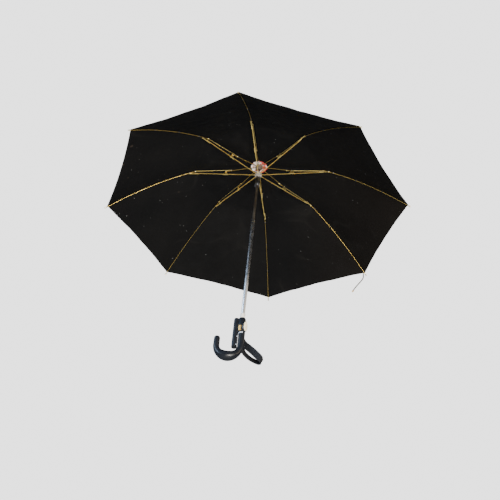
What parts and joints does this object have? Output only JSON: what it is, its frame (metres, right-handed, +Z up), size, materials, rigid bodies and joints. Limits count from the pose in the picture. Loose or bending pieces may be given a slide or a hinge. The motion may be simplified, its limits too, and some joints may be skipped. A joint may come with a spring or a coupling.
{
  "type": "folding umbrella",
  "caption": "Two-fold automatic umbrella, open: eight-rib frame, black canopy, telescoping chrome shaft and a crook handle with wrist strap.",
  "frame": {"origin": "on the shaft's axis, level with the lowest point of the crook", "axes": "+Z up the shaft towards the cap; +X away from the crook's opening; the crook lies in the XZ plane"},
  "size_m": [0.9578, 0.9578, 0.777],
  "materials": {
    "chrome_lower": "polished",
    "chrome_upper": "polished",
    "rib_bright": "satin",
    "rib_dark": "satin",
    "ivory_plastic": "satin",
    "wire": "satin",
    "sleeve_metal": "satin",
    "canopy_cloth": "matte",
    "rosette_cloth": "matte",
    "black_gloss": "gloss",
    "button_gold": "satin",
    "badge_gold": "polished",
    "slider_grey": "satin",
    "webbing": "matte",
    "tie_cord": "matte",
    "bead_gold": "polished"
  },
  "bodies": {
    "handle": {"lower_tube": "chrome_lower", "grip_body": "black_gloss", "grip_end_cap": "black_gloss", "tube_collar": "ivory_plastic", "button_spring": "wire", "badge_plate": "badge_gold", "wrist_strap": "webbing"},
    "crook": {"crook": "black_gloss", "crook_slider": "slider_grey"},
    "button": {"release_button": "button_gold"},
    "shaft": {"upper_tube": "chrome_upper", "crown": "ivory_plastic", "crown_wire": "wire", "rosette": "rosette_cloth", "top_cap": "black_gloss", "canopy_gore_1": "canopy_cloth", "canopy_gore_2": "canopy_cloth", "canopy_gore_3": "canopy_cloth", "canopy_gore_4": "canopy_cloth", "canopy_gore_5": "canopy_cloth", "canopy_gore_6": "canopy_cloth", "canopy_gore_7": "canopy_cloth", "canopy_gore_8": "canopy_cloth"},
    "crown_rib_1": {"crown_rib_1": "rib_dark"},
    "stretcher_1": {"stretcher_1": "rib_bright"},
    "link_1": {"link_1": "rib_bright"},
    "outer_rib_1": {"outer_rib_1": "rib_dark"},
    "crown_rib_2": {"crown_rib_2": "rib_dark"},
    "stretcher_2": {"stretcher_2": "rib_bright"},
    "link_2": {"link_2": "rib_bright"},
    "outer_rib_2": {"outer_rib_2": "rib_dark"},
    "crown_rib_3": {"crown_rib_3": "rib_dark"},
    "stretcher_3": {"stretcher_3": "rib_bright"},
    "link_3": {"link_3": "rib_bright"},
    "outer_rib_3": {"outer_rib_3": "rib_dark"},
    "crown_rib_4": {"crown_rib_4": "rib_dark"},
    "stretcher_4": {"stretcher_4": "rib_bright"},
    "link_4": {"link_4": "rib_bright"},
    "outer_rib_4": {"outer_rib_4": "rib_dark"},
    "crown_rib_5": {"crown_rib_5": "rib_dark"},
    "stretcher_5": {"stretcher_5": "rib_bright"},
    "link_5": {"link_5": "rib_bright"},
    "outer_rib_5": {"outer_rib_5": "rib_dark"},
    "crown_rib_6": {"crown_rib_6": "rib_dark"},
    "stretcher_6": {"stretcher_6": "rib_bright"},
    "link_6": {"link_6": "rib_bright"},
    "outer_rib_6": {"outer_rib_6": "rib_dark"},
    "crown_rib_7": {"crown_rib_7": "rib_dark"},
    "stretcher_7": {"stretcher_7": "rib_bright"},
    "link_7": {"link_7": "rib_bright"},
    "outer_rib_7": {"outer_rib_7": "rib_dark"},
    "crown_rib_8": {"crown_rib_8": "rib_dark"},
    "stretcher_8": {"stretcher_8": "rib_bright"},
    "link_8": {"link_8": "rib_bright"},
    "outer_rib_8": {"outer_rib_8": "rib_dark", "closure_tie": "tie_cord", "tie_bead": "bead_gold"},
    "runner": {"runner": "ivory_plastic", "runner_wire": "wire", "runner_sleeve": "sleeve_metal"}
  },
  "joints": [
    {"name": "shaft_telescope", "type": "slide", "parent": "handle", "child": "shaft", "axis": [0, 0, 1], "range_m": [-0.215, 0]},
    {"name": "crook_slide", "type": "slide", "parent": "handle", "child": "crook", "axis": [0, 0, -1], "range_m": [0, 0.03]},
    {"name": "button_press", "type": "slide", "parent": "handle", "child": "button", "axis": [-0.809, 0.5878, 0], "range_m": [0, 0.0025], "stiffness_N_per_m": 400, "deforming": ["button_spring"]},
    {"name": "canopy_fold", "type": "hinge", "parent": "shaft", "child": "crown_rib_1", "pos_m": [0.00895, -0.00091, 0.749], "axis": [0.1011, 0.9949, 0], "range_deg": [0, 78], "deforming": ["canopy_gore_1", "canopy_gore_2", "canopy_gore_3", "canopy_gore_4", "canopy_gore_5", "canopy_gore_6", "canopy_gore_7", "canopy_gore_8"]},
    {"name": "stretcher_1_hinge", "type": "hinge", "parent": "crown_rib_1", "child": "stretcher_1", "pos_m": [0.10645, -0.01081, 0.7325], "axis": [0.1011, 0.9949, 0], "range_deg": [-156, 0]},
    {"name": "link_1_hinge", "type": "hinge", "parent": "crown_rib_1", "child": "link_1", "pos_m": [0.0888, -0.00902, 0.73549], "axis": [0.1011, 0.9949, 0], "range_deg": [-156, 0]},
    {"name": "elbow_1_hinge", "type": "hinge", "parent": "stretcher_1", "child": "outer_rib_1", "pos_m": [0.22385, -0.02274, 0.726], "axis": [0.1011, 0.9949, 0], "range_deg": [0, 136.12]},
    {"name": "crown_rib_2_hinge", "type": "hinge", "parent": "shaft", "child": "crown_rib_2", "pos_m": [0.00569, -0.00697, 0.749], "axis": [0.7749, 0.632, 0], "range_deg": [0, 78]},
    {"name": "stretcher_2_hinge", "type": "hinge", "parent": "crown_rib_2", "child": "stretcher_2", "pos_m": [0.06763, -0.08292, 0.7325], "axis": [0.7749, 0.632, 0], "range_deg": [-156, 0]},
    {"name": "link_2_hinge", "type": "hinge", "parent": "crown_rib_2", "child": "link_2", "pos_m": [0.05641, -0.06917, 0.73549], "axis": [0.7749, 0.632, 0], "range_deg": [-156, 0]},
    {"name": "elbow_2_hinge", "type": "hinge", "parent": "stretcher_2", "child": "outer_rib_2", "pos_m": [0.14221, -0.17436, 0.726], "axis": [0.7749, 0.632, 0], "range_deg": [0, 136.12]},
    {"name": "crown_rib_3_hinge", "type": "hinge", "parent": "shaft", "child": "crown_rib_3", "pos_m": [-0.00091, -0.00895, 0.749], "axis": [0.9949, -0.1011, 0], "range_deg": [0, 78]},
    {"name": "stretcher_3_hinge", "type": "hinge", "parent": "crown_rib_3", "child": "stretcher_3", "pos_m": [-0.01081, -0.10645, 0.7325], "axis": [0.9949, -0.1011, 0], "range_deg": [-156, 0]},
    {"name": "link_3_hinge", "type": "hinge", "parent": "crown_rib_3", "child": "link_3", "pos_m": [-0.00902, -0.0888, 0.73549], "axis": [0.9949, -0.1011, 0], "range_deg": [-156, 0]},
    {"name": "elbow_3_hinge", "type": "hinge", "parent": "stretcher_3", "child": "outer_rib_3", "pos_m": [-0.02274, -0.22385, 0.726], "axis": [0.9949, -0.1011, 0], "range_deg": [0, 136.12]},
    {"name": "crown_rib_4_hinge", "type": "hinge", "parent": "shaft", "child": "crown_rib_4", "pos_m": [-0.00697, -0.00569, 0.749], "axis": [0.632, -0.7749, 0], "range_deg": [0, 78]},
    {"name": "stretcher_4_hinge", "type": "hinge", "parent": "crown_rib_4", "child": "stretcher_4", "pos_m": [-0.08292, -0.06763, 0.7325], "axis": [0.632, -0.7749, 0], "range_deg": [-156, 0]},
    {"name": "link_4_hinge", "type": "hinge", "parent": "crown_rib_4", "child": "link_4", "pos_m": [-0.06917, -0.05641, 0.73549], "axis": [0.632, -0.7749, 0], "range_deg": [-156, 0]},
    {"name": "elbow_4_hinge", "type": "hinge", "parent": "stretcher_4", "child": "outer_rib_4", "pos_m": [-0.17436, -0.14221, 0.726], "axis": [0.632, -0.7749, 0], "range_deg": [0, 136.12]},
    {"name": "crown_rib_5_hinge", "type": "hinge", "parent": "shaft", "child": "crown_rib_5", "pos_m": [-0.00895, 0.00091, 0.749], "axis": [-0.1011, -0.9949, 0], "range_deg": [0, 78]},
    {"name": "stretcher_5_hinge", "type": "hinge", "parent": "crown_rib_5", "child": "stretcher_5", "pos_m": [-0.10645, 0.01081, 0.7325], "axis": [-0.1011, -0.9949, 0], "range_deg": [-156, 0]},
    {"name": "link_5_hinge", "type": "hinge", "parent": "crown_rib_5", "child": "link_5", "pos_m": [-0.0888, 0.00902, 0.73549], "axis": [-0.1011, -0.9949, 0], "range_deg": [-156, 0]},
    {"name": "elbow_5_hinge", "type": "hinge", "parent": "stretcher_5", "child": "outer_rib_5", "pos_m": [-0.22385, 0.02274, 0.726], "axis": [-0.1011, -0.9949, 0], "range_deg": [0, 136.12]},
    {"name": "crown_rib_6_hinge", "type": "hinge", "parent": "shaft", "child": "crown_rib_6", "pos_m": [-0.00569, 0.00697, 0.749], "axis": [-0.7749, -0.632, 0], "range_deg": [0, 78]},
    {"name": "stretcher_6_hinge", "type": "hinge", "parent": "crown_rib_6", "child": "stretcher_6", "pos_m": [-0.06763, 0.08292, 0.7325], "axis": [-0.7749, -0.632, 0], "range_deg": [-156, 0]},
    {"name": "link_6_hinge", "type": "hinge", "parent": "crown_rib_6", "child": "link_6", "pos_m": [-0.05641, 0.06917, 0.73549], "axis": [-0.7749, -0.632, 0], "range_deg": [-156, 0]},
    {"name": "elbow_6_hinge", "type": "hinge", "parent": "stretcher_6", "child": "outer_rib_6", "pos_m": [-0.14221, 0.17436, 0.726], "axis": [-0.7749, -0.632, 0], "range_deg": [0, 136.12]},
    {"name": "crown_rib_7_hinge", "type": "hinge", "parent": "shaft", "child": "crown_rib_7", "pos_m": [0.00091, 0.00895, 0.749], "axis": [-0.9949, 0.1011, 0], "range_deg": [0, 78]},
    {"name": "stretcher_7_hinge", "type": "hinge", "parent": "crown_rib_7", "child": "stretcher_7", "pos_m": [0.01081, 0.10645, 0.7325], "axis": [-0.9949, 0.1011, 0], "range_deg": [-156, 0]},
    {"name": "link_7_hinge", "type": "hinge", "parent": "crown_rib_7", "child": "link_7", "pos_m": [0.00902, 0.0888, 0.73549], "axis": [-0.9949, 0.1011, 0], "range_deg": [-156, 0]},
    {"name": "elbow_7_hinge", "type": "hinge", "parent": "stretcher_7", "child": "outer_rib_7", "pos_m": [0.02274, 0.22385, 0.726], "axis": [-0.9949, 0.1011, 0], "range_deg": [0, 136.12]},
    {"name": "crown_rib_8_hinge", "type": "hinge", "parent": "shaft", "child": "crown_rib_8", "pos_m": [0.00697, 0.00569, 0.749], "axis": [-0.632, 0.7749, 0], "range_deg": [0, 78]},
    {"name": "stretcher_8_hinge", "type": "hinge", "parent": "crown_rib_8", "child": "stretcher_8", "pos_m": [0.08292, 0.06763, 0.7325], "axis": [-0.632, 0.7749, 0], "range_deg": [-156, 0]},
    {"name": "link_8_hinge", "type": "hinge", "parent": "crown_rib_8", "child": "link_8", "pos_m": [0.06917, 0.05641, 0.73549], "axis": [-0.632, 0.7749, 0], "range_deg": [-156, 0]},
    {"name": "elbow_8_hinge", "type": "hinge", "parent": "stretcher_8", "child": "outer_rib_8", "pos_m": [0.17436, 0.14221, 0.726], "axis": [-0.632, 0.7749, 0], "range_deg": [0, 136.12]},
    {"name": "runner_hinge", "type": "hinge", "parent": "stretcher_1", "child": "runner", "pos_m": [0.00895, -0.00091, 0.716], "axis": [0.1011, 0.9949, 0], "range_deg": [0, 78]}
  ],
  "couplings": [
    {"joint": "stretcher_1_hinge", "follows": "canopy_fold", "ratio": -2},
    {"joint": "link_1_hinge", "follows": "canopy_fold", "ratio": -2},
    {"joint": "elbow_1_hinge", "follows": "canopy_fold", "ratio": 1.745},
    {"joint": "crown_rib_2_hinge", "follows": "canopy_fold", "ratio": 1},
    {"joint": "stretcher_2_hinge", "follows": "canopy_fold", "ratio": -2},
    {"joint": "link_2_hinge", "follows": "canopy_fold", "ratio": -2},
    {"joint": "elbow_2_hinge", "follows": "canopy_fold", "ratio": 1.745},
    {"joint": "crown_rib_3_hinge", "follows": "canopy_fold", "ratio": 1},
    {"joint": "stretcher_3_hinge", "follows": "canopy_fold", "ratio": -2},
    {"joint": "link_3_hinge", "follows": "canopy_fold", "ratio": -2},
    {"joint": "elbow_3_hinge", "follows": "canopy_fold", "ratio": 1.745},
    {"joint": "crown_rib_4_hinge", "follows": "canopy_fold", "ratio": 1},
    {"joint": "stretcher_4_hinge", "follows": "canopy_fold", "ratio": -2},
    {"joint": "link_4_hinge", "follows": "canopy_fold", "ratio": -2},
    {"joint": "elbow_4_hinge", "follows": "canopy_fold", "ratio": 1.745},
    {"joint": "crown_rib_5_hinge", "follows": "canopy_fold", "ratio": 1},
    {"joint": "stretcher_5_hinge", "follows": "canopy_fold", "ratio": -2},
    {"joint": "link_5_hinge", "follows": "canopy_fold", "ratio": -2},
    {"joint": "elbow_5_hinge", "follows": "canopy_fold", "ratio": 1.745},
    {"joint": "crown_rib_6_hinge", "follows": "canopy_fold", "ratio": 1},
    {"joint": "stretcher_6_hinge", "follows": "canopy_fold", "ratio": -2},
    {"joint": "link_6_hinge", "follows": "canopy_fold", "ratio": -2},
    {"joint": "elbow_6_hinge", "follows": "canopy_fold", "ratio": 1.745},
    {"joint": "crown_rib_7_hinge", "follows": "canopy_fold", "ratio": 1},
    {"joint": "stretcher_7_hinge", "follows": "canopy_fold", "ratio": -2},
    {"joint": "link_7_hinge", "follows": "canopy_fold", "ratio": -2},
    {"joint": "elbow_7_hinge", "follows": "canopy_fold", "ratio": 1.745},
    {"joint": "crown_rib_8_hinge", "follows": "canopy_fold", "ratio": 1},
    {"joint": "stretcher_8_hinge", "follows": "canopy_fold", "ratio": -2},
    {"joint": "link_8_hinge", "follows": "canopy_fold", "ratio": -2},
    {"joint": "elbow_8_hinge", "follows": "canopy_fold", "ratio": 1.745},
    {"joint": "runner_hinge", "follows": "canopy_fold", "ratio": 1}
  ]
}
